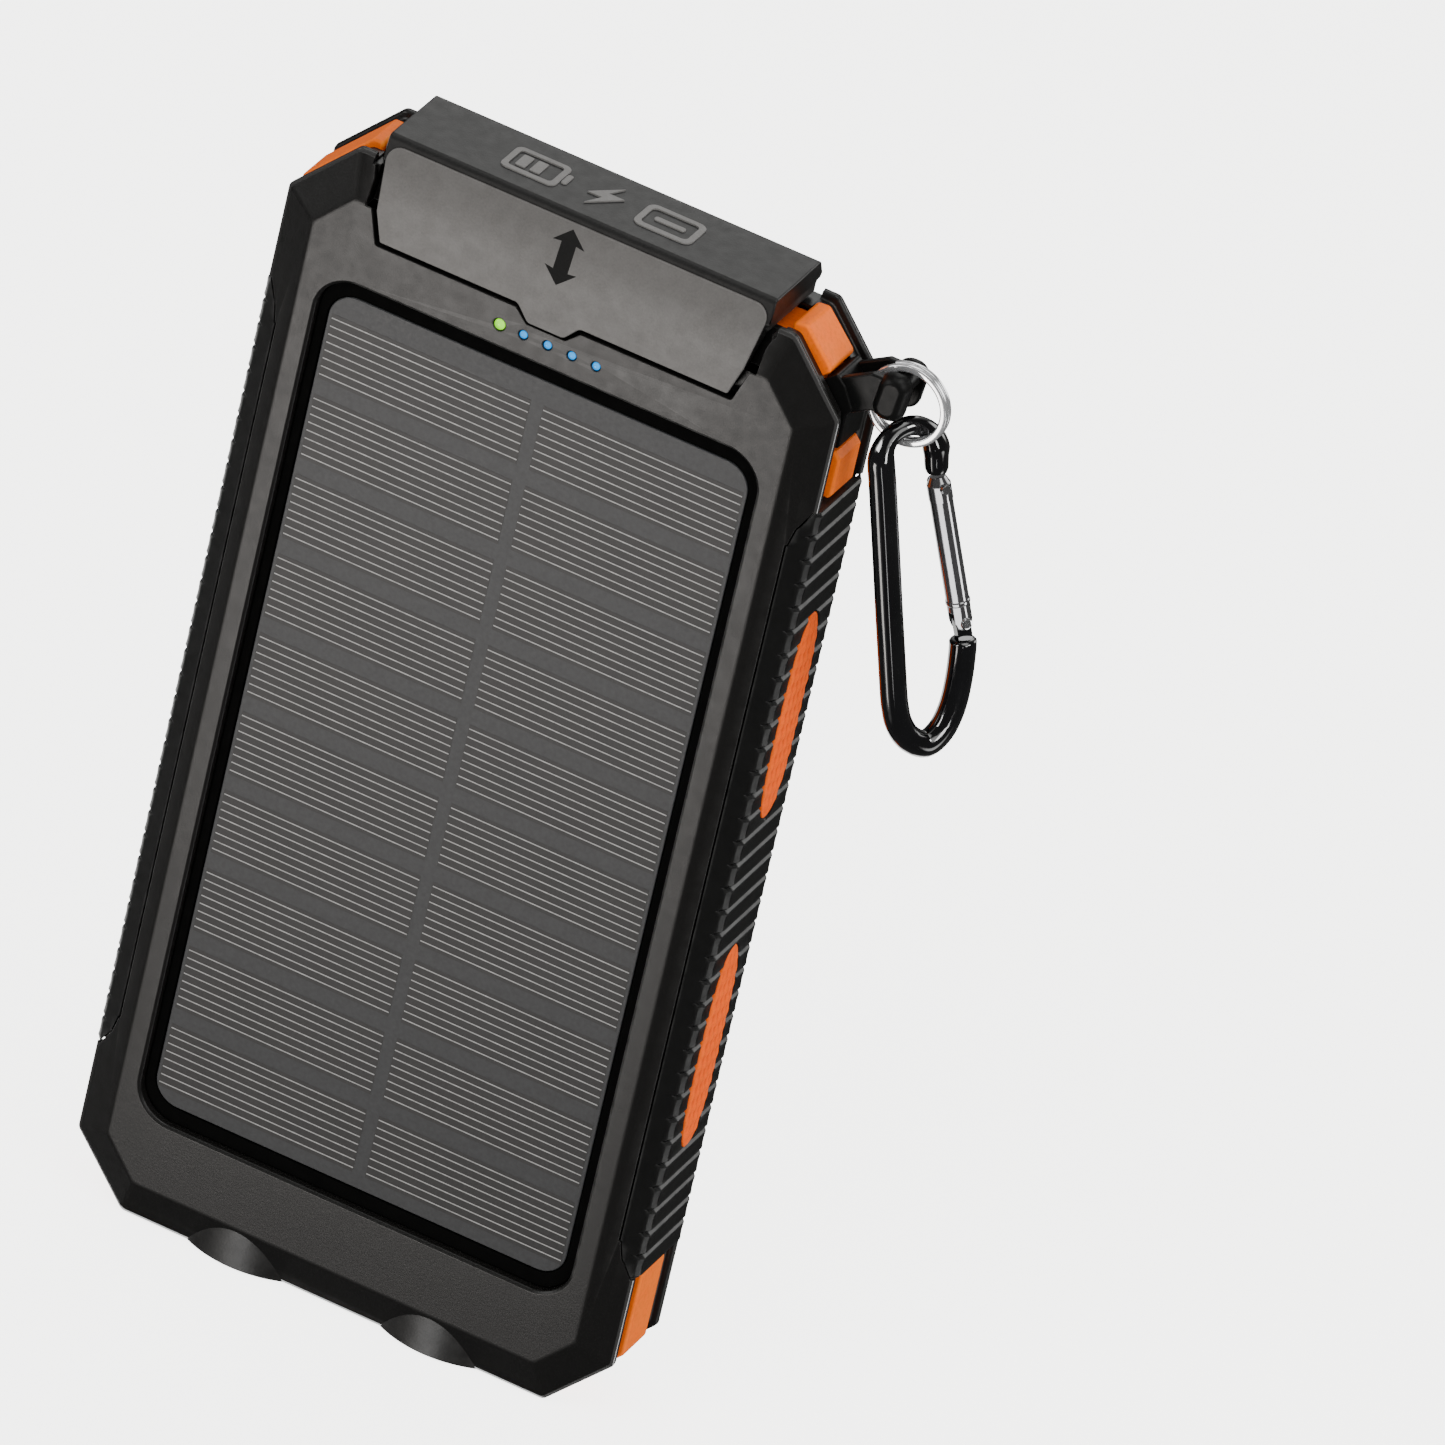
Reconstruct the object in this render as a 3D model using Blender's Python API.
"""Rugged solar power bank with two torches, a compass and a snap hook.

World frame in metres: +Z runs from the torch end (z = 0) to the flap end,
-Y is the solar face (front), +Y the back, and +X (right) carries the lanyard
lug.  Dimensions below are in millimetres; piece() scales each finished mesh.
"""

import math

import bpy
import bmesh
from mathutils import Matrix, Vector

MM = 0.001
FRONT, BACK = -1, 1                    # signs along Y
SIDES = ((-1, "left"), (1, "right"))   # signs along X

# ---------------------------------------------------------------- dimensions
FACE_Y = 8.5              # the two flat faces
LIP_Y = 6.5               # where the chamfer ends and the edge lip starts
SPLIT_Y = 3.45            # inner edge of each casing wall
BAND_Y = 3.35             # half depth of the orange middle frame

LIP_HALF_WIDTH, LIP_TOP = 38.0, 156.5  # outer octagon
LIP_CUT = (8.0, 8.8)                   # corner cut in x and z

# x span and z span, corner radius
WINDOW, WINDOW_R = ((-30.5, 30.5), (15.6, 139.3)), 5.0
PANEL_HALF_WIDTH, PANEL_LOW, PANEL_TOP, PANEL_R = 29.0, 17.9, 136.9, 3.8
PANEL_GAP = 0.3

TORCH_X, TORCH_R = 13.75, 6.7          # torch bores along Z
BUMP_R, BUMP_HALF = 13.6, 6.85         # barrel-shaped swellings over the torches
BUMP_CREST_Y, BUMP_ROOT_Y, BUMP_TOP = 8.35, 5.9, 6.2

GRIP_LOW, GRIP_TOP, GRIP_GAP = 21.8, 134.4, 0.3
GRIP_OUT = 38.5
INLAY_LEVELS = ((53.7, "lower"), (102.4, "upper"))
INLAY_LENGTH, INLAY_WIDTH = 30.0, 6.2

HINGE = (6.95, 153.8)                  # flap hinge axis along X, in y and z
HINGE_ORIGIN = (0.0, *HINGE)
PIN_R, BARREL_R, PIN_GAP = 0.70, 1.45, 0.05
FLAP_ARM = (20.4, 21.8)                # the flap's hinge arms, distance from x = 0
KNUCKLE = (23.7, 25.4)                 # what holds the pin's ends
FLAP_HALF_WIDTH = 26.7

COMPASS_AT, COMPASS_R = (0.0, 136.2), 7.5

SCREW_AT = ((-29.0, 10.5), (29.0, 10.5), (-29.2, 146.0), (29.2, 146.0))

LED_Z = 142.4
LED_AT = ((-6.64, 0.75), (-3.35, 0.55), (0.0, 0.55), (3.35, 0.55), (6.7, 0.55))  # x, radius

PORT_X = 16.2                          # the two USB-A sockets
BUTTON_LOW, BUTTON_TOP, BUTTON_OUT = 135.6, 140.9, -38.3
BUTTON_Z = (BUTTON_LOW + BUTTON_TOP) / 2
PLUNGER_AT, PLUNGER_R, PLUNGER_TIP = (-0.4, BUTTON_Z), 1.03, -31.95

# x of the red and black leads
BATTERY_LEAD_X = (("red", -12.0), ("black", -16.0))
SOLAR_LEAD_X, SOLAR_LEAD_Z = (("red", 8.0), ("black", 12.0)), 132.0
TORCH_RED_X, TORCH_BLACK_X = 17.8, 14.6

# lanyard lug, ring and snap hook
RING_CENTRE = Vector((43.8, 0.0, 150.0))
RING_R, RING_WIRE, RING_AXIAL = 5.0, 1.0, 0.8
LUG_BAR_R = 1.25
HOOK_R = 1.15
HANG = Vector((0.269, 0.0, -0.963)).normalized()     # the way the ring hangs
TURN = math.radians(54.0)              # hook's plane against the ring's plane
RING_INNER_R = RING_R - RING_WIRE / 2
BAR_CENTRE = RING_CENTRE - HANG * (RING_INNER_R - LUG_BAR_R - 0.1)

# name: (colour, roughness, metallic, alpha)
MATERIALS = {
    "charcoal_shell": ((0.045, 0.042, 0.042), 0.55, 0.0, 1.0),
    "black_rubber": ((0.012, 0.012, 0.012), 0.75, 0.0, 1.0),
    "orange_band": ((1.0, 0.27, 0.03), 0.4, 0.0, 1.0),
    "orange_knurl": ((1.0, 0.17, 0.01), 0.5, 0.0, 1.0),
    "flap_rubber": ((0.03, 0.028, 0.028), 0.5, 0.0, 1.0),
    "solar_cells": ((0.05, 0.05, 0.06), 0.25, 0.0, 1.0),
    "fibreglass": ((0.05, 0.22, 0.10), 0.5, 0.0, 1.0),
    "light_guide": ((0.75, 0.9, 0.95), 0.2, 0.0, 1.0),
    "black_gloss": ((0.008, 0.008, 0.01), 0.12, 0.0, 1.0),
    "polished_steel": ((0.82, 0.82, 0.83), 0.15, 1.0, 1.0),
    "brushed_steel": ((0.62, 0.62, 0.63), 0.32, 1.0, 1.0),
    "zinc_steel": ((0.45, 0.45, 0.45), 0.4, 1.0, 1.0),
    "clear_lens": ((0.9, 0.93, 0.95), 0.05, 0.0, 0.3),
    "mirror_cup": ((0.9, 0.9, 0.9), 0.06, 1.0, 1.0),
    "led_phosphor": ((1.0, 0.93, 0.55), 0.4, 0.0, 1.0),
    "compass_dial": ((0.015, 0.015, 0.015), 0.4, 0.0, 1.0),
    "cell_foil": ((0.62, 0.63, 0.66), 0.35, 0.6, 1.0),
    "foam": ((0.05, 0.05, 0.055), 0.95, 0.0, 1.0),
    "wire_red": ((0.6, 0.02, 0.02), 0.45, 0.0, 1.0),
    "wire_black": ((0.02, 0.02, 0.02), 0.45, 0.0, 1.0),
    "contact_plastic": ((0.85, 0.85, 0.82), 0.4, 0.0, 1.0),
    "chip_black": ((0.02, 0.02, 0.022), 0.5, 0.0, 1.0),
}


# ------------------------------------------------------------ scene, materials
def clear_scene():
    for old in list(bpy.data.objects):
        bpy.data.objects.remove(old, do_unlink=True)
    for store in (bpy.data.meshes, bpy.data.materials):
        for old in list(store):
            store.remove(old)


def make_material(name, colour, roughness, metallic, alpha):
    mat = bpy.data.materials.new(name)
    mat.use_nodes = True
    inputs = mat.node_tree.nodes["Principled BSDF"].inputs
    inputs["Base Color"].default_value = (*colour, 1.0)
    inputs["Roughness"].default_value = roughness
    inputs["Metallic"].default_value = metallic
    inputs["Alpha"].default_value = alpha
    mat.diffuse_color = (*colour, alpha)


# -------------------------------------------------------------------- outlines
def span(centre, half):
    return (centre - half, centre + half)


def side_span(side, inner, outer):
    """Low and high x of something between two distances from x = 0."""
    return sorted((side * inner, side * outer))


def circle(centre, radius, sides=16, start=0.0):
    angles = [start + 2 * math.pi * i / sides for i in range(sides)]
    return [
        (centre[0] + radius * math.cos(angle), centre[1] + radius * math.sin(angle))
        for angle in angles
    ]


def arc(centre, radius, start, sweep_angle, steps):
    angles = [start + sweep_angle * i / steps for i in range(steps + 1)]
    return [
        (centre[0] + radius * math.cos(angle), centre[1] + radius * math.sin(angle))
        for angle in angles
    ]


def rounded(first_span, second_span, radius, steps=4):
    """Rectangle with round corners."""
    left, right = first_span[0] + radius, first_span[1] - radius
    low, high = second_span[0] + radius, second_span[1] - radius
    points = []
    for k, centre in enumerate(((right, high), (left, high), (left, low), (right, low))):
        points += arc(centre, radius, k * math.pi / 2, math.pi / 2, steps)
    return points


def stadium(start, end, radius, steps=5):
    """A slot outline from one centre to the other."""
    angle = math.atan2(end[1] - start[1], end[0] - start[0])
    return (arc(end, radius, angle - math.pi / 2, math.pi, steps)
            + arc(start, radius, angle + math.pi / 2, math.pi, steps))


def octagon(half_width, low, top, cut_size, inset=0.0):
    """Corner-cut rectangle in x and z, moved in by inset on every side."""
    cut_x, cut_z = cut_size
    diagonal = math.hypot(cut_x, cut_z)
    # these keep the sloped sides parallel
    inset_x = cut_x - inset + inset * (diagonal - cut_x) / cut_z
    inset_z = cut_z - inset + inset * (diagonal - cut_z) / cut_x
    half_width, low, top = half_width - inset, low + inset, top - inset
    short = half_width - inset_x
    return [
        (-short, low), (short, low), (half_width, low + inset_z), (half_width, top - inset_z),
        (short, top), (-short, top), (-half_width, top - inset_z), (-half_width, low + inset_z),
    ]


# ---------------------------------------------------------------------- solids
def solid(verts, faces):
    """A closed temporary object in millimetres, with its faces turned out."""
    builder = bmesh.new()
    points = [builder.verts.new(vert) for vert in verts]
    for face in faces:
        builder.faces.new([points[i] for i in face])
    bmesh.ops.recalc_face_normals(builder, faces=builder.faces)
    if builder.calc_volume(signed=True) < 0:
        bmesh.ops.reverse_faces(builder, faces=builder.faces)
    mesh = bpy.data.meshes.new("shape")
    builder.to_mesh(mesh)
    builder.free()
    obj = bpy.data.objects.new("shape", mesh)
    bpy.context.scene.collection.objects.link(obj)
    return obj


def loft(rings):
    """Skin over rings of equal point count, capped at both ends."""
    size = len(rings[0])
    verts = [point for ring in rings for point in ring]
    faces = [list(range(size)), [len(verts) - size + i for i in range(size)]]
    for base in range(0, len(verts) - size, size):
        for i in range(size):
            j = (i + 1) % size
            faces.append([base + i, base + j, base + size + j, base + size + i])
    return solid(verts, faces)


def place(axis, first, second, height):
    """Point at height along axis; first and second keep X, Y, Z order."""
    if axis == "X":
        return (height, first, second)
    if axis == "Y":
        return (first, height, second)
    return (first, second, height)


def taper(axis, steps):
    """A stack of (outline, height) steps."""
    return loft([[place(axis, *point, height) for point in outline] for outline, height in steps])


def prism(axis, outline, low, high):
    return taper(axis, [(outline, low), (outline, high)])


def rod(axis, centre, radius, low, high, sides=16):
    return prism(axis, circle(centre, radius, sides, math.pi / sides), low, high)


def box(x_span, y_span, z_span):
    (left, right), (front, back) = x_span, y_span
    corners = [(left, front), (right, front), (right, back), (left, back)]
    return prism("Z", corners, *z_span)


def turned(axis, centre, profile, sides=20):
    """A solid of revolution from a closed (radius, height) outline."""
    verts, faces, rows = [], [], []
    for radius, height in profile:
        if radius < 1e-9:
            rows.append([len(verts)] * sides)
            verts.append(place(axis, *centre, height))
        else:
            rows.append(list(range(len(verts), len(verts) + sides)))
            ring = circle(centre, radius, sides, math.pi / sides)
            verts += [place(axis, *point, height) for point in ring]
    for row, following in zip(rows, rows[1:] + rows[:1]):
        if row[0] == row[-1] and following[0] == following[-1]:
            continue
        for i in range(sides):
            j = (i + 1) % sides
            quad = (row[i], row[j], following[j], following[i])
            faces.append(list(dict.fromkeys(quad)))   # a triangle at the axis
    return solid(verts, faces)


def sweep(path, radius, sides):
    """A round rod along the path, its frame carried without twist."""
    path = [Vector(point) for point in path]
    rings, normal = [], None
    for i, point in enumerate(path):
        tangent = (path[min(i + 1, len(path) - 1)] - path[max(i - 1, 0)]).normalized()
        if normal is None:
            normal = tangent.orthogonal().normalized()
        normal = (normal - tangent * normal.dot(tangent)).normalized()
        binormal = tangent.cross(normal)
        rings.append([
            point + u * normal + v * binormal for u, v in circle((0.0, 0.0), radius, sides)
        ])
    return loft(rings)


def smooth_path(points, steps):
    """Catmull-Rom curve through the points."""
    knots = [Vector(point) for point in points]
    knots = [2 * knots[0] - knots[1]] + knots + [2 * knots[-1] - knots[-2]]
    curve = []
    for before, start, end, after in zip(knots, knots[1:], knots[2:], knots[3:]):
        for k in range(steps):
            t = k / steps
            curve.append(0.5 * (
                2 * start
                + (end - before) * t
                + (2 * before - 5 * start + 4 * end - after) * t * t
                + (3 * start - before - 3 * end + after) * t ** 3
            ))
    curve.append(knots[-2])
    return curve


def combine(target, others, operation):
    """Applies one boolean per other object, which it uses up."""
    for other in others:
        mod = target.modifiers.new("bool", "BOOLEAN")
        mod.operation = operation
        mod.solver = "EXACT"
        mod.object = other
        bpy.context.view_layer.update()
        graph = bpy.context.evaluated_depsgraph_get()
        mesh = bpy.data.meshes.new_from_object(target.evaluated_get(graph))
        target.modifiers.clear()
        spent = (target.data, other.data)
        target.data = mesh
        bpy.data.objects.remove(other, do_unlink=True)
        for old in spent:
            bpy.data.meshes.remove(old)
    return target


def cut(target, *others):
    return combine(target, others, "DIFFERENCE")


def join(target, *others):
    return combine(target, others, "UNION")


def piece(name, obj, mat, origin=(0.0, 0.0, 0.0), smooth=None):
    """Names the solid, tidies it, scales it to metres and sets its origin.

    smooth is the angle in degrees above which edges stay sharp.
    """
    mesh = obj.data
    builder = bmesh.new()
    builder.from_mesh(mesh)
    bmesh.ops.remove_doubles(builder, verts=builder.verts, dist=2e-4)
    bmesh.ops.dissolve_degenerate(builder, edges=builder.edges, dist=2e-4)
    bmesh.ops.triangulate(builder, faces=builder.faces)
    builder.to_mesh(mesh)
    builder.free()
    mesh.transform(Matrix.Translation(-Vector(origin)))
    mesh.transform(Matrix.Scale(MM, 4))
    obj.location = Vector(origin) * MM
    obj.name = name
    mesh.name = name
    mesh.materials.clear()
    mesh.materials.append(bpy.data.materials[mat])
    if smooth is not None:
        mesh.shade_smooth()
        mesh.set_sharp_from_angle(angle=math.radians(smooth))


# ------------------------------------------------------------ shared outlines
FACE_FLAT = octagon(half_width=33.2, low=5.7, top=150.6, cut_size=(4.7, 5.3))


def lip(inset=0.0):
    return octagon(LIP_HALF_WIDTH, 0.0, LIP_TOP, LIP_CUT, inset)


def panel_outline(grow, radius):
    return rounded(
        span(0.0, PANEL_HALF_WIDTH + grow), (PANEL_LOW - grow, PANEL_TOP + grow), radius
    )


def flap_front(grow=0.0):
    """The flap's outline in x and z, widened by grow."""
    outer = FLAP_HALF_WIDTH + grow
    bottom, tab_bottom = 146.5 - grow, 144.4 - grow
    return [
        (-24.0 - grow, bottom), (-4.9 - grow, bottom),
        (-3.1 - 0.6 * grow, tab_bottom), (1.9 + 0.6 * grow, tab_bottom),
        (3.7 + grow, bottom), (24.0 + grow, bottom), (25.3 + grow, 150.5),
        (outer, 156.0), (outer, 165.0), (-outer, 165.0), (-outer, 156.0), (-25.3 - grow, 150.5),
    ]


def bump_outline(sign, x):
    """Segment in x and y that swells the chamfer over a torch."""
    centre = sign * (BUMP_CREST_Y - BUMP_R)
    half = math.asin(BUMP_HALF / BUMP_R)
    curve = [
        (x + BUMP_R * math.sin(angle), centre + sign * BUMP_R * math.cos(angle))
        for angle in (half * (k / 4 - 1) for k in range(9))
    ]
    root_y = sign * BUMP_ROOT_Y
    return curve + [(x + BUMP_HALF, root_y), (x - BUMP_HALF, root_y)]


# grip channel in x and y, for the right side
GRIP_SECTION = [
    (35.4, -7.55), (35.4, -6.4), (36.6, -5.6), (36.6, 5.6), (35.4, 6.4), (35.4, 7.55),
    (38.0, 6.5), (GRIP_OUT, 5.9), (GRIP_OUT, -5.9), (38.0, -6.5),
]
# the seat it lies in, open to the outside
GRIP_SEAT = [
    (35.4 - GRIP_GAP, -9.0), (35.4 - GRIP_GAP, -6.2), (36.6 - GRIP_GAP, -5.4),
    (36.6 - GRIP_GAP, 5.4), (35.4 - GRIP_GAP, 6.2), (35.4 - GRIP_GAP, 9.0),
    (41.0, 9.0), (41.0, -9.0),
]


def grip_solid(section, side, gap=0.0):
    outline = [(side * x, y) for x, y in section]
    return prism("Z", outline, GRIP_LOW - gap, GRIP_TOP + gap)


def inlay_outline(centre_z, grow=0.0):
    """Long oval with drawn-in ends, in y and z."""
    half_length, half_width = INLAY_LENGTH / 2 + grow, INLAY_WIDTH / 2 + grow
    points = []
    for k in range(20):
        angle = 2 * math.pi * k / 20
        cosine, sine = math.cos(angle), math.sin(angle)
        y = half_width * math.copysign(abs(cosine) ** 0.75, cosine)
        z = centre_z + half_length * math.copysign(abs(sine) ** 1.15, sine)
        points.append((y, z))
    return points


# -------------------------------------------------------------------- casings
# sunk fields of the back, in x and z
LOWER_FIELD = [
    (-19.5, 20.3), (19.5, 20.3), (25.8, 28.2), (25.2, 43.0),
    (15.0, 47.5), (-15.0, 47.5), (-25.2, 43.0), (-25.8, 28.2),
]
UPPER_FIELD = [
    (-14.8, 81.7), (14.8, 81.7), (25.2, 86.6), (26.0, 101.5),
    (20.0, 108.7), (-20.0, 108.7), (-26.0, 101.5), (-25.2, 86.6),
]
# slope behind the flap's front skin, in y and z
FLAP_SLOPE = [(-9.0, 150.4), (-6.2, 150.4), (-4.6, 155.5), (-4.6, 159.0), (-9.0, 159.0)]
FLAP_BAY_X, FLAP_BAY_Z = (-27.8, 27.8), (155.2, 160.0)


def cut_torch_bores(target, depth):
    for side, _ in SIDES:
        cut(target, rod("Z", (side * TORCH_X, 0.0), TORCH_R, -1.0, depth, 24))


def casing(sign, floor_y, cavity_top):
    """One half of the shell, hollow, with torch swellings and grip seats."""
    edge = lip(0.6)
    steps = [(edge, SPLIT_Y), (edge, 5.35), (lip(), 5.6), (lip(), LIP_Y), (FACE_FLAT, FACE_Y)]
    shell = taper("Y", [(outline, sign * y) for outline, y in steps])
    for side, _ in SIDES:
        join(shell, prism("Z", bump_outline(sign, side * TORCH_X), 0.0, BUMP_TOP))
    cavity = octagon(half_width=34.6, low=3.0, top=cavity_top, cut_size=(6.6, 7.2))
    cut(shell, prism("Y", cavity, sign * 3.0, sign * floor_y))
    for side, _ in SIDES:
        cut(shell, grip_solid(GRIP_SEAT, side, GRIP_GAP))
    return shell


def front_casing():
    shell = casing(FRONT, floor_y=4.9, cavity_top=152.9)
    for spot in SCREW_AT:
        join(shell, rod("Y", spot, 2.4, -5.2, -SPLIT_Y, 12))
    cut(shell, prism("Y", rounded(*WINDOW, WINDOW_R), -9.0, -7.1))
    cut(shell, prism("Y", panel_outline(PANEL_GAP, PANEL_R), -8.0, -6.0))
    for spot in SCREW_AT:
        cut(shell, rod("Y", spot, 1.1, -6.9, -3.0, 10))
    cut_torch_bores(shell, 13.2)
    for x, radius in LED_AT:
        cut(shell, rod("Y", (x, LED_Z), radius + 0.08, -9.0, -4.5, 10))
    for _, x in SOLAR_LEAD_X:
        cut(shell, rod("Y", (x, SOLAR_LEAD_Z), 0.7, -6.5, -4.5, 8))
    # room for the flap: its outline, the slope and the open top
    cut(shell, prism("Y", flap_front(1.1), -9.0, -6.25))
    cut(shell, prism("X", FLAP_SLOPE, -27.0, 27.0))
    cut(shell, box(FLAP_BAY_X, (-7.0, 0.0), FLAP_BAY_Z))
    piece("front_casing", shell, "charcoal_shell")


def rear_casing():
    shell = casing(BACK, floor_y=6.9, cavity_top=149.8)
    for spot in SCREW_AT:
        join(shell, rod("Y", spot, 2.9, SPLIT_Y, 7.2, 12))
    join(shell, rod("Y", COMPASS_AT, COMPASS_R + 1.3, 4.0, 7.2, 24))
    cut(shell, rod("Y", COMPASS_AT, COMPASS_R + 0.12, 4.95, 9.5, 24))
    for spot in SCREW_AT:
        cut(shell, rod("Y", spot, 2.15, 5.4, 9.5, 12), rod("Y", spot, 1.2, 3.0, 6.0, 10))
    cut_torch_bores(shell, 13.2)
    # hinge channel, then the two knuckles that hold the pin
    cut(shell, box(FLAP_BAY_X, (0.0, 12.0), FLAP_BAY_Z))
    cut(shell, box((-24.3, 24.3), (5.0, 12.0), (151.2, 160.0)))
    for side, _ in SIDES:
        knuckle = side_span(side, *KNUCKLE)
        join(
            shell,
            prism("X", circle(HINGE, BARREL_R, 14), *knuckle),
            box(knuckle, (5.6, 8.3), (150.6, HINGE[1])),
        )
    cut(shell, rod("X", HINGE, PIN_R + PIN_GAP, -25.3, 25.3, 12))
    # shallow relief of the back: side slots, two fields, end plaques
    for side, _ in SIDES:
        cut(shell, prism("Y", stadium((side * 30.2, 18.4), (side * 30.2, 138.4), 1.35), 8.0, 9.5))
    plaques = [
        stadium((-9.2, 12.7), (9.2, 12.7), 1.1),
        stadium((-10.6, 115.2), (10.6, 115.2), 1.1),
    ]
    for outline in (LOWER_FIELD, UPPER_FIELD, *plaques):
        cut(shell, prism("Y", outline, 8.1, 9.5))
    piece("rear_casing", shell, "charcoal_shell")


# --------------------------------------------------------------- middle frame
CORNER_OUT = Vector((LIP_CUT[1], LIP_CUT[0])).normalized()
CORNER_DOWN = Vector((LIP_CUT[0], -LIP_CUT[1])).normalized()
CORNER_LOW = Vector((LIP_HALF_WIDTH, LIP_TOP - LIP_CUT[1]))


def corner(out, down):
    """x and z of a point off the upper right corner cut's lower end."""
    point = CORNER_LOW + out * CORNER_OUT + down * CORNER_DOWN
    return (point.x, point.y)


# x and z, up the right side then down the left
BAND_OUTLINE = [
    (29.9, 0.0), (37.75, 8.7), (37.75, 21.2), (36.2, 21.5), (36.2, 134.7), (38.0, 134.9),
    (38.0, 141.4), (33.7, 141.7), (33.7, 148.6), corner(-1.5, -5.3), corner(-0.3, -5.3),
    (29.8, 156.2), (28.1, 156.2), (28.1, 155.2),
    (-28.1, 155.2), (-28.1, 156.2), (-29.8, 156.2), (-37.75, 147.6), (-37.75, 142.2),
    (-37.2, 141.9), (-37.2, 134.7), (-36.2, 134.4), (-36.2, 21.5), (-37.75, 21.2),
    (-37.75, 8.7), (-29.9, 0.0),
]
# right half of the hollow in x and z, bottom to top
HOLLOW_HALF = [
    (21.5, 16.0), (21.5, 3.0), (27.6, 3.0), (34.2, 10.2),
    (34.2, 131.0), (31.8, 133.0), (31.8, 148.0), (27.5, 152.9),
]


def mid_frame():
    band = prism("Y", BAND_OUTLINE, -BAND_Y, BAND_Y)
    hollow = HOLLOW_HALF + [(-x, z) for x, z in reversed(HOLLOW_HALF)]
    cut(band, prism("Y", hollow, -5.0, 5.0))
    cut_torch_bores(band, 10.6)
    cut(band, box((-20.6, 20.6), (-2.6, 2.6), (10.5, 13.2)))   # torch board slot
    for x in (TORCH_BLACK_X, TORCH_RED_X):
        cut(band, rod("Z", (x, 0.0), 0.9, 12.0, 18.0, 8))
    for side, _ in SIDES:
        cut(band, box(span(side * PORT_X, 6.75), (-2.95, 2.95), (150.0, 158.0)))
    cut(band, box((-4.65, 4.65), (-2.95, 0.45), (150.0, 158.0)))
    # button opening, and the wider pocket inside it
    opening = rounded((-2.45, 2.45), (BUTTON_LOW - 0.15, BUTTON_TOP + 0.15), 0.8, 2)
    pocket_z = (BUTTON_LOW - 0.8, BUTTON_TOP + 0.8)
    cut(
        band,
        prism("X", opening, -40.0, -34.0),
        box((-34.95, -30.0), (-2.95, 2.95), pocket_z),
    )
    piece("mid_frame", band, "orange_band")


def grips_and_inlays():
    for side, word in SIDES:
        grip = grip_solid(GRIP_SECTION, side)
        for z, _ in INLAY_LEVELS:
            cut(grip, prism("X", inlay_outline(z, 0.12), *side_span(side, 37.4, 40.0)))
        piece("side_grip_" + word, grip, "black_rubber")
        for z, level in INLAY_LEVELS:
            oval, crown_oval = inlay_outline(z), inlay_outline(z, -1.2)
            steps = [(oval, side * 37.45), (oval, side * 38.1), (crown_oval, side * GRIP_OUT)]
            piece(f"grip_inlay_{word}_{level}", taper("X", steps), "orange_knurl")


# ----------------------------------------------------------------------- flap
# sections in y and z
FLAP_SKIN = [
    (-8.5, 143.0), (-8.5, 150.5), (-6.3, 160.0), (6.3, 160.0), (7.35, 157.9), (6.9, 157.2),
    (-4.7, 157.2), (-6.7, 150.5), (-6.7, 143.0),
]
FLAP_CHEEK = [(-7.2, 155.7), (-6.5, 158.6), (6.0, 158.6), (6.0, 155.7)]


def usb_flap():
    flap = prism("X", FLAP_SKIN, -FLAP_HALF_WIDTH, FLAP_HALF_WIDTH)
    for side, _ in SIDES:
        join(flap, prism("X", FLAP_CHEEK, *side_span(side, 25.4, FLAP_HALF_WIDTH)))
    combine(flap, [prism("Y", flap_front(), -12.0, 12.0)], "INTERSECT")
    for side, _ in SIDES:
        arm = side_span(side, *FLAP_ARM)
        join(
            flap,
            rod("X", HINGE, BARREL_R, *arm),
            box(arm, (5.6, HINGE[0] - 0.05), (HINGE[1], 157.6)),
        )
    cut(flap, rod("X", HINGE, PIN_R + PIN_GAP, -30.0, 30.0))
    piece("usb_flap", flap, "flap_rubber", origin=HINGE_ORIGIN)


def flap_seal():
    """A sheet under the flap's top, with a pad over each socket."""
    seal = prism("Z", rounded((-24.8, 24.8), (-4.4, 5.2), 1.5, 3), 156.1, 157.0)
    pads = [(span(side * PORT_X, 5.6), (-1.9, 1.9)) for side, _ in SIDES]
    for pad in (*pads, ((-3.6, 3.6), (-2.4, -0.2))):
        join(seal, prism("Z", rounded(*pad, 0.6, 2), 155.6, 156.4))
    piece("flap_seal", seal, "black_rubber", origin=HINGE_ORIGIN)


def flap_hinge_pin():
    piece("flap_hinge_pin", rod("X", HINGE, PIN_R, -25.1, 25.1), "polished_steel", smooth=40)


# ------------------------------------------------------------ screws and plugs
# radius and y
SCREW_PROFILE = [(0.0, 7.0), (1.9, 6.9), (1.9, 5.5), (1.0, 5.5), (1.0, -5.8), (0.0, -6.4)]
PLUG_PROFILE = [(0.0, 8.45), (1.95, 8.45), (2.0, 8.3), (2.0, 7.25), (0.0, 7.25)]


def screws_and_plugs():
    for k, spot in enumerate(SCREW_AT, 1):
        screw = turned("Y", spot, SCREW_PROFILE, 12)
        cut(screw, box(span(spot[0], 1.3), (6.3, 8.0), span(spot[1], 0.25)))
        piece(f"case_screw_{k}", screw, "zinc_steel")
        plug = turned("Y", spot, PLUG_PROFILE, 16)
        piece(f"screw_plug_{k}", plug, "black_rubber", smooth=40)


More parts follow.
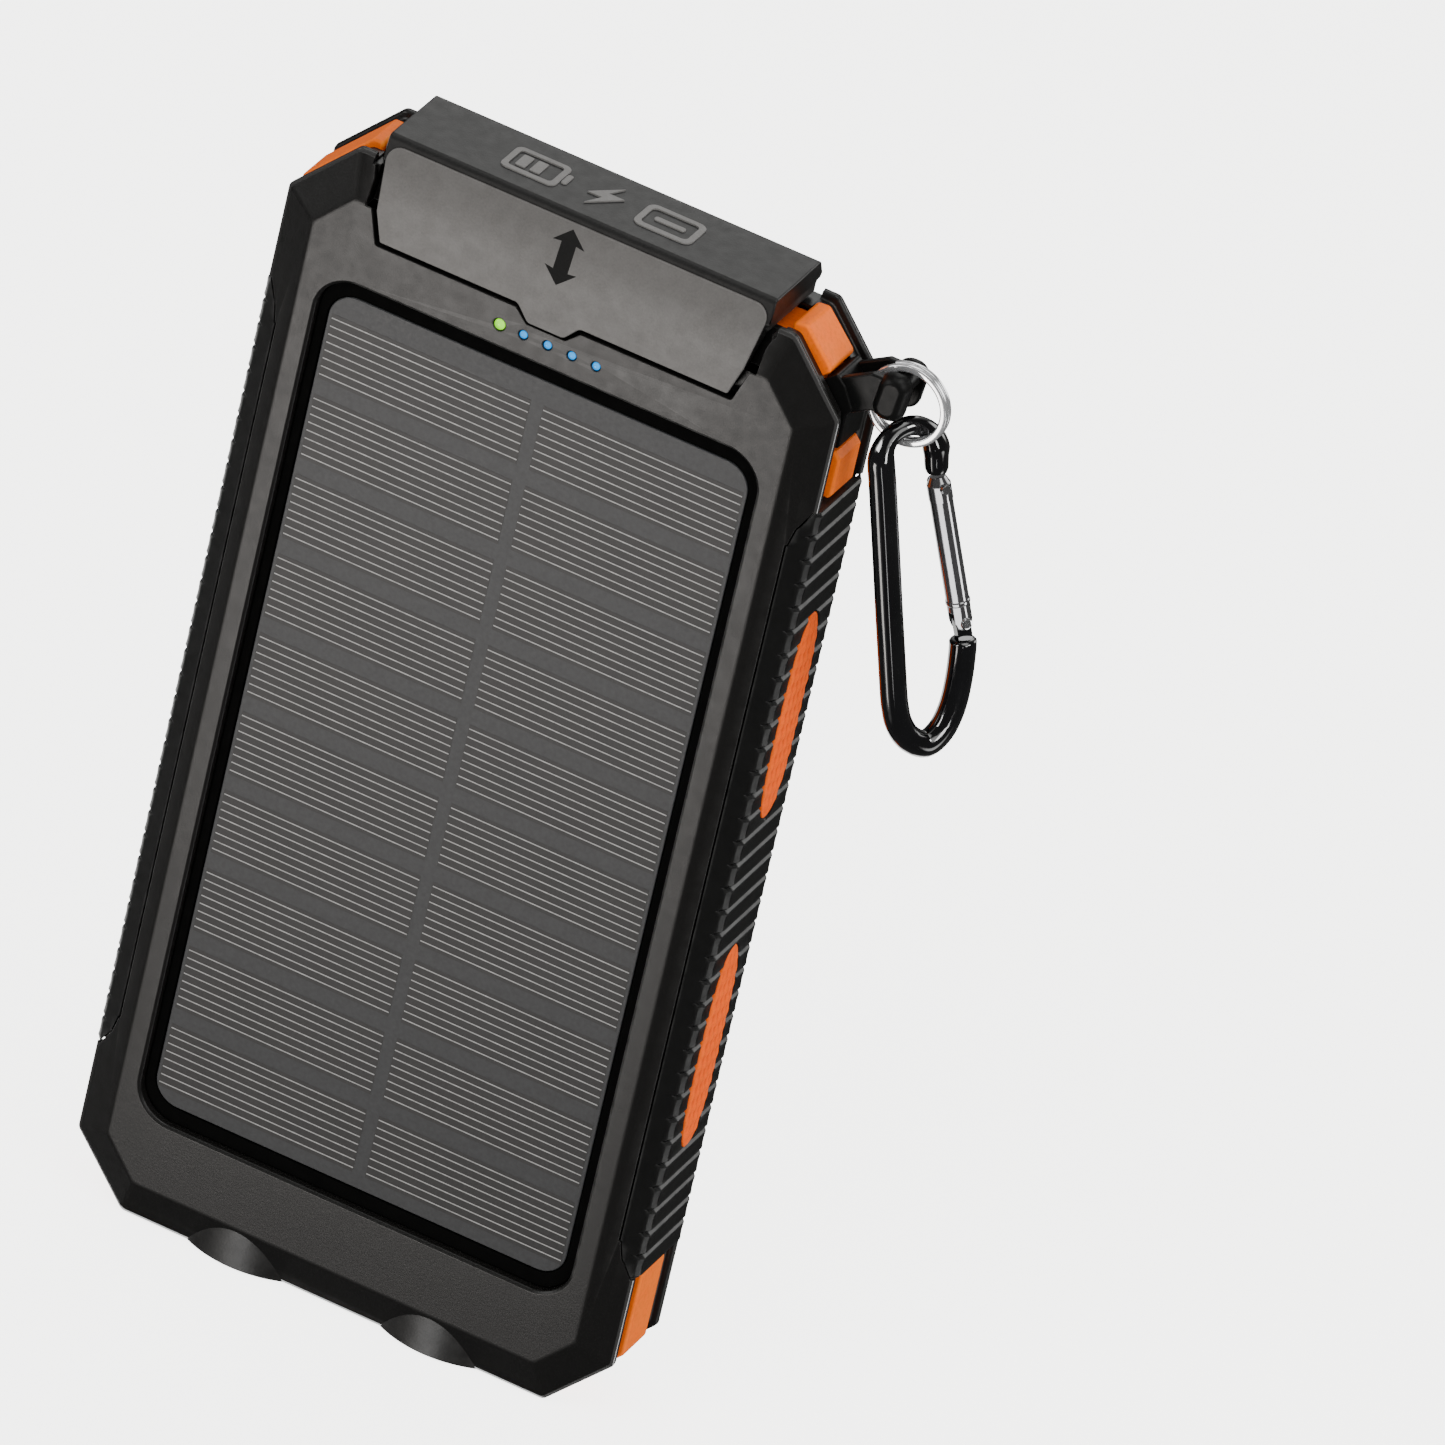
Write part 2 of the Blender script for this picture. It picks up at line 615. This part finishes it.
# ------------------------------------------------------------- button, switch
def power_button():
    """Cap, retaining flange and the foot that faces the switch."""
    cap = rounded((-2.3, 2.3), (BUTTON_LOW, BUTTON_TOP), 0.7, 2)
    flange = rounded((-2.8, 2.8), (BUTTON_LOW - 0.6, BUTTON_TOP + 0.6), 0.5, 2)
    foot = rounded((-2.0, 1.2), (136.6, 139.9), 0.4, 2)
    button = prism("X", cap, BUTTON_OUT, -34.3)
    join(button, prism("X", flange, -34.85, -34.1))
    join(button, prism("X", foot, -35.0, -32.05))
    piece("power_button", button, "orange_band", origin=(BUTTON_OUT, 0.0, BUTTON_Z))


def tact_switch():
    body = box((-31.0, -27.4), (-2.9, 1.3), (135.9, 140.6))
    cut(body, rod("X", PLUNGER_AT, 1.1, -32.0, -29.7, 12))
    piece("tact_switch_body", body, "chip_black")
    plunger = rod("X", PLUNGER_AT, PLUNGER_R, PLUNGER_TIP, -30.4, 12)
    origin = (PLUNGER_TIP, *PLUNGER_AT)
    piece("tact_switch_plunger", plunger, "contact_plastic", origin=origin)


# ------------------------------------------------------ solar panel, light guide
def solar_panel():
    outline = panel_outline(0.0, PANEL_R - 0.3)
    piece("solar_laminate", prism("Y", outline, -7.3, -6.75), "solar_cells")
    piece("solar_backing_board", prism("Y", outline, -6.7, -6.1), "fibreglass")


def indicator_light_guide():
    guide = box((-8.2, 8.2), (-4.8, -4.3), (141.3, 143.5))
    for x, radius in LED_AT:
        join(guide, rod("Y", (x, LED_Z), radius, -8.45, -4.6, 10))
    piece("indicator_light_guide", guide, "light_guide")


# -------------------------------------------------------------------- compass
# radius and y
HOUSING_PROFILE = [
    (0.0, 5.05), (7.45, 5.05), (COMPASS_R, 8.35), (6.9, 8.45), (6.8, 7.55), (6.45, 7.45),
    (6.45, 5.7), (0.0, 5.7),
]
CARD_PROFILE = [
    (0.35, 6.25), (1.2, 6.25), (1.3, 6.55), (6.1, 6.55), (6.1, 6.85), (1.1, 6.85),
    (0.9, 7.2), (0.35, 7.2),
]
PIVOT_PROFILE = [(0.0, 5.75), (0.9, 5.75), (0.8, 6.1), (0.29, 6.15), (0.29, 7.25), (0.0, 7.35)]
COVER_PROFILE = [(0.0, 7.62), (6.72, 7.62), (6.76, 8.1), (4.6, 8.38), (0.0, 8.48)]


def compass():
    piece("compass_housing", turned("Y", COMPASS_AT, HOUSING_PROFILE, 28), "black_gloss")
    card_origin = (COMPASS_AT[0], 6.7, COMPASS_AT[1])
    card = turned("Y", COMPASS_AT, CARD_PROFILE, 24)
    piece("compass_card", card, "compass_dial", origin=card_origin)
    piece("compass_pivot", turned("Y", COMPASS_AT, PIVOT_PROFILE, 14), "brushed_steel")
    piece("compass_lens", turned("Y", COMPASS_AT, COVER_PROFILE, 28), "clear_lens")


# -------------------------------------------------------------------- torches
# radius and z
TORCH_LENS = [(0.0, 0.55), (6.5, 0.8), (6.6, 1.9), (0.0, 1.9)]
TORCH_CUP = [
    (6.6, 2.0), (6.6, 8.4), (3.2, 10.3), (1.65, 10.3), (1.65, 9.6), (3.4, 8.2),
    (4.9, 5.9), (6.1, 2.0),
]
TORCH_LED = [(0.0, 8.6), (0.7, 8.8), (1.2, 9.4), (1.5, 9.6), (1.5, 11.1), (0.0, 11.1)]


def torches():
    for side, word in SIDES:
        centre = (side * TORCH_X, 0.0)
        piece("torch_lens_" + word, turned("Z", centre, TORCH_LENS, 28), "clear_lens")
        piece("torch_reflector_" + word, turned("Z", centre, TORCH_CUP, 24), "mirror_cup")
        piece("torch_led_" + word, turned("Z", centre, TORCH_LED, 14), "led_phosphor")
    piece("torch_board", box((-20.0, 20.0), (-2.4, 2.4), (11.2, 12.4)), "fibreglass")


# ---------------------------------------------------------------- electronics
# x and z
BOARD_OUTLINE = [
    (-31.2, 123.0), (31.2, 123.0), (31.2, 143.0), (26.4, 143.0),
    (26.4, 152.5), (-26.4, 152.5), (-26.4, 143.0), (-31.2, 143.0),
]
# radius and y
INDUCTOR_PROFILE = [
    (0.0, -2.9), (3.0, -2.9), (3.0, -2.5), (2.5, -2.2), (2.5, -0.6), (3.0, -0.3),
    (3.0, 0.1), (0.0, 0.1),
]


def board_and_chips():
    piece("main_board", prism("Y", BOARD_OUTLINE, -4.15, -3.0), "fibreglass")
    piece("boost_inductor", turned("Y", (6.0, 130.5), INDUCTOR_PROFILE, 16), "chip_black")
    piece("control_chip", box((-5.5, -0.5), (-2.9, -1.9), (127.5, 132.5)), "chip_black")


def usb_a_sockets():
    for side, word in SIDES:
        x = side * PORT_X
        can = box(span(x, 6.6), (-2.85, 2.85), (140.8, 155.0))
        cut(can, box(span(x, 6.25), (-2.5, 2.5), (141.3, 158.0)))
        piece("usb_a_shell_" + word, can, "brushed_steel")
        insert = box(span(x, 6.1), (-2.35, 2.35), (141.4, 144.6))
        join(insert, box(span(x, 5.5), (-2.0, -0.2), (144.0, 153.6)))
        piece("usb_a_insert_" + word, insert, "contact_plastic")


def input_port():
    can = prism("Z", rounded((-4.5, 4.5), (-2.85, 0.3), 1.2, 3), 147.4, 155.0)
    cut(can, prism("Z", rounded((-4.2, 4.2), (-2.55, 0.0), 0.9, 3), 147.9, 158.0))
    piece("input_port_shell", can, "brushed_steel")
    insert = prism("Z", rounded((-4.05, 4.05), (-2.4, -0.15), 0.8, 3), 148.0, 150.0)
    join(insert, box((-3.3, 3.3), (-1.6, -0.95), (149.5, 154.2)))
    piece("input_port_insert", insert, "chip_black")


def battery():
    cell = prism("Y", rounded((-27.0, 27.0), (26.0, 118.0), 2.0, 3), -3.4, 5.0)
    piece("battery_cell", cell, "cell_foil")
    pad = prism("Y", rounded((-24.0, 24.0), (34.0, 110.0), 2.0, 2), 5.1, 6.8)
    piece("battery_pad", pad, "foam")


# --------------------------------------------------------------------- wiring
# y and z stations
BATTERY_LEAD = [(1.0, 118.2), (1.0, 120.2), (-0.6, 123.0), (-2.0, 125.0), (-2.2, 127.5)]
SOLAR_LEAD = [(-5.95, SOLAR_LEAD_Z), (-4.9, SOLAR_LEAD_Z), (-4.52, 131.2), (-4.52, 126.5)]
# x, y, z stations
TORCH_LEADS = {
    "red": [
        (TORCH_RED_X, 0.0, 12.6), (TORCH_RED_X, 0.0, 18.0), (22.0, 0.0, 21.0),
        (29.2, 0.0, 25.0), (29.6, 0.0, 32.0), (29.6, 0.0, 116.0), (28.6, -1.0, 121.5),
        (27.5, -2.2, 125.5),
    ],
    "black": [
        (TORCH_BLACK_X, 0.0, 12.6), (TORCH_BLACK_X, 0.0, 19.5), (20.5, 1.5, 23.0),
        (30.6, 1.7, 27.0), (31.6, 0.5, 34.0), (31.6, 0.5, 116.0), (30.8, -1.0, 121.5),
        (30.0, -2.2, 125.5),
    ],
}


def lead(kind, colour, points, radius):
    wire = sweep(smooth_path(points, 3), radius, 6)
    piece(f"{kind}_lead_{colour}", wire, "wire_" + colour, smooth=60)


def wiring():
    for colour, x in BATTERY_LEAD_X:
        lead("battery", colour, [(x, y, z) for y, z in BATTERY_LEAD], radius=0.6)
    for colour, x in SOLAR_LEAD_X:
        lead("solar", colour, [(x, y, z) for y, z in SOLAR_LEAD], radius=0.3)
    for colour, points in TORCH_LEADS.items():
        lead("torch", colour, points, radius=0.5)


# --------------------------------------------------------------- lug and ring
LUG_Y = (1.9, 3.2)                     # the two arms, distance from y = 0
LUG_BASE = [                           # x and z
    (34.0, 142.0), (37.4, 142.0), (37.4, 146.8), corner(0.2, -0.1), corner(0.9, -3.2),
    corner(0.7, -4.9), corner(-1.2, -5.0), (34.0, 148.4),
]


def lanyard_lug():
    """Base on the corner cut, with two arms that hold a bar along Y."""
    inner, outer = LUG_Y
    bar_at = (BAR_CENTRE.x, BAR_CENTRE.z)
    lug = prism("Y", LUG_BASE, -outer, outer)
    arm = [corner(-0.6, -0.6), corner(-0.6, -4.4)]
    arm += arc(bar_at, 1.45, math.radians(135.0), -math.pi, 8)
    for low, high in ((-outer, -inner), (inner, outer)):
        join(lug, prism("Y", arm, low, high))
    join(lug, prism("Y", circle(bar_at, LUG_BAR_R), -2.2, 2.2))
    piece("lanyard_lug", lug, "charcoal_shell")


def split_ring():
    """One turn beside the other, with the jog between them."""
    steps, first, last = 44, 28.0, 692.0       # degrees along the wire
    jog_start, jog_length, turn_y = 335.0, 50.0, 0.43
    half_radial, half_axial, bevel = RING_WIRE / 2, RING_AXIAL / 2, 0.18
    flat_radial, flat_axial = half_radial - bevel, half_axial - bevel
    section = [                                # radial and y
        (half_radial, -flat_axial), (half_radial, flat_axial),
        (flat_radial, half_axial), (-flat_radial, half_axial),
        (-half_radial, flat_axial), (-half_radial, -flat_axial),
        (-flat_radial, -half_axial), (flat_radial, -half_axial),
    ]
    rings = []
    for k in range(steps + 1):
        degrees = first + (last - first) * k / steps
        jog = min(max((degrees - jog_start) / jog_length, 0.0), 1.0)
        shift = -turn_y + 2 * turn_y * jog * jog * (3 - 2 * jog)
        angle = math.radians(degrees + 150.0)
        out = Vector((math.cos(angle), 0.0, math.sin(angle)))
        centre = RING_CENTRE + RING_R * out + Vector((0.0, shift, 0.0))
        rings.append([centre + radial * out + Vector((0.0, y, 0.0)) for radial, y in section])
    piece("split_ring", loft(rings), "polished_steel", origin=tuple(BAR_CENTRE), smooth=35)


# ------------------------------------------------------------------ snap hook
# Drawn in its own plane: across and down from the top of the bow, at CROWN.
ACROSS = math.cos(TURN) * Vector((-HANG.z, 0.0, HANG.x)) + math.sin(TURN) * Vector((0.0, 1.0, 0.0))
HOOK_NORMAL = ACROSS.cross(HANG)
CROWN = RING_CENTRE + HANG * (RING_INNER_R - HOOK_R - 0.5)
BOW_R, BOW_ACROSS = 3.8, -0.25

# across and down
NOSE = [(3.47, 6.95), (3.5, 5.7), (3.54, 4.7)]
SPINE = [(-4.0, 6.0), (-3.95, 12.0), (-3.9, 24.0), (-3.8, 34.5)]
BOTTOM_BEND = [
    (-3.75, 36.0), (-3.35, 38.6), (-2.1, 41.0), (0.15, 42.4), (2.4, 41.2), (4.1, 38.5),
    (5.2, 35.0), (5.9, 31.2), (6.0, 29.6),
]
GATE_FOOT = Vector((5.85, 27.3))       # gate hinge
GATE_HEAD = Vector((3.5, 7.3))
GATE_LENGTH = (GATE_HEAD - GATE_FOOT).length
GATE_UP = (GATE_HEAD - GATE_FOOT) / GATE_LENGTH
GATE_SIDE = Vector((GATE_UP.y, -GATE_UP.x))

# up the gate and across it
TANG = [
    (-2.9, -0.95), (-2.9, 0.95), (-0.4, 1.0), (0.5, 0.85), (1.0, 0.0), (0.5, -0.85), (-0.4, -1.0),
]
GATE_FORK = [(-3.0, -2.0), (-3.0, 2.0), (1.5, 2.0), (1.5, -2.0)]
# radius and level along the hook's normal
HINGE_HOLE = [(0.52, -3.0), (0.52, 3.0)]
LATCH_PIN = [(0.45, -1.75), (0.45, 1.75)]
RIVET = [(0.7, -1.5), (0.75, -1.25), (0.47, -1.2), (0.47, 1.2), (0.75, 1.25), (0.7, 1.5)]


def hook_point(across, down, level=0.0):
    return CROWN + across * ACROSS + down * HANG + level * HOOK_NORMAL


def gate_point(up, side, level=0.0):
    """Point up the gate from its hinge and sideways in the hook's plane."""
    point = GATE_FOOT + up * GATE_UP + side * GATE_SIDE
    return hook_point(point.x, point.y, level)


GATE_ORIGIN = tuple(gate_point(0.0, 0.0))


def gate_slab(outline, half):
    return loft([[gate_point(*point, level) for point in outline] for level in (-half, half)])


def gate_rod(low, high, radius, sides=12):
    return sweep([gate_point(low, 0.0), gate_point(high, 0.0)], radius, sides)


def cross_pin(up, profile, sides=12):
    """Round pin square to the hook's plane, from (radius, level) steps."""
    return loft([
        [gate_point(*point, level) for point in circle((up, 0.0), radius, sides)]
        for radius, level in profile
    ])


def carabiner_body():
    bow = [(math.cos(math.radians(angle)), math.sin(math.radians(angle)))
           for angle in range(0, 181, 18)]
    path = NOSE + [(BOW_ACROSS + BOW_R * x, BOW_R - BOW_R * y) for x, y in bow] + SPINE
    bend = smooth_path([(*point, 0.0) for point in BOTTOM_BEND], 2)
    path += [(point.x, point.y) for point in bend]
    body = sweep([hook_point(*point) for point in path], HOOK_R, 10)
    join(body, gate_slab(TANG, 0.55))
    cut(body, cross_pin(0.0, HINGE_HOLE))
    piece("carabiner_body", body, "black_gloss", origin=tuple(CROWN), smooth=40)


def carabiner_gate():
    gate = gate_rod(-1.15, GATE_LENGTH - 0.15, HOOK_R)
    cut(gate, gate_slab(GATE_FORK, 0.7))
    cut(gate, gate_rod(1.0, 14.5, 0.7, 10))    # bore for the spring
    cut(gate, cross_pin(0.0, HINGE_HOLE))
    join(gate, cross_pin(GATE_LENGTH - 1.5, LATCH_PIN, 8))
    piece("carabiner_gate", gate, "brushed_steel", origin=GATE_ORIGIN, smooth=35)
    piece("gate_rivet", cross_pin(0.0, RIVET), "brushed_steel", origin=GATE_ORIGIN)


def gate_spring():
    turns, steps, coil_r, wire_r = 6, 60, 0.45, 0.13
    start, length = 2.2, 11.0
    coil = []
    for k in range(steps + 1):
        angle = 2 * math.pi * turns * k / steps
        up = start + length * k / steps
        coil.append(gate_point(up, coil_r * math.cos(angle), coil_r * math.sin(angle)))
    spring = sweep(coil, wire_r, 4)
    piece("gate_spring", spring, "polished_steel", origin=GATE_ORIGIN, smooth=60)


clear_scene()
for material_name, surface in MATERIALS.items():
    make_material(material_name, *surface)
for build in (
    front_casing, rear_casing, mid_frame, grips_and_inlays,
    usb_flap, flap_seal, flap_hinge_pin, screws_and_plugs, power_button, tact_switch,
    solar_panel, indicator_light_guide, compass, torches,
    board_and_chips, usb_a_sockets, input_port, battery, wiring,
    lanyard_lug, split_ring, carabiner_body, carabiner_gate, gate_spring,
):
    build()
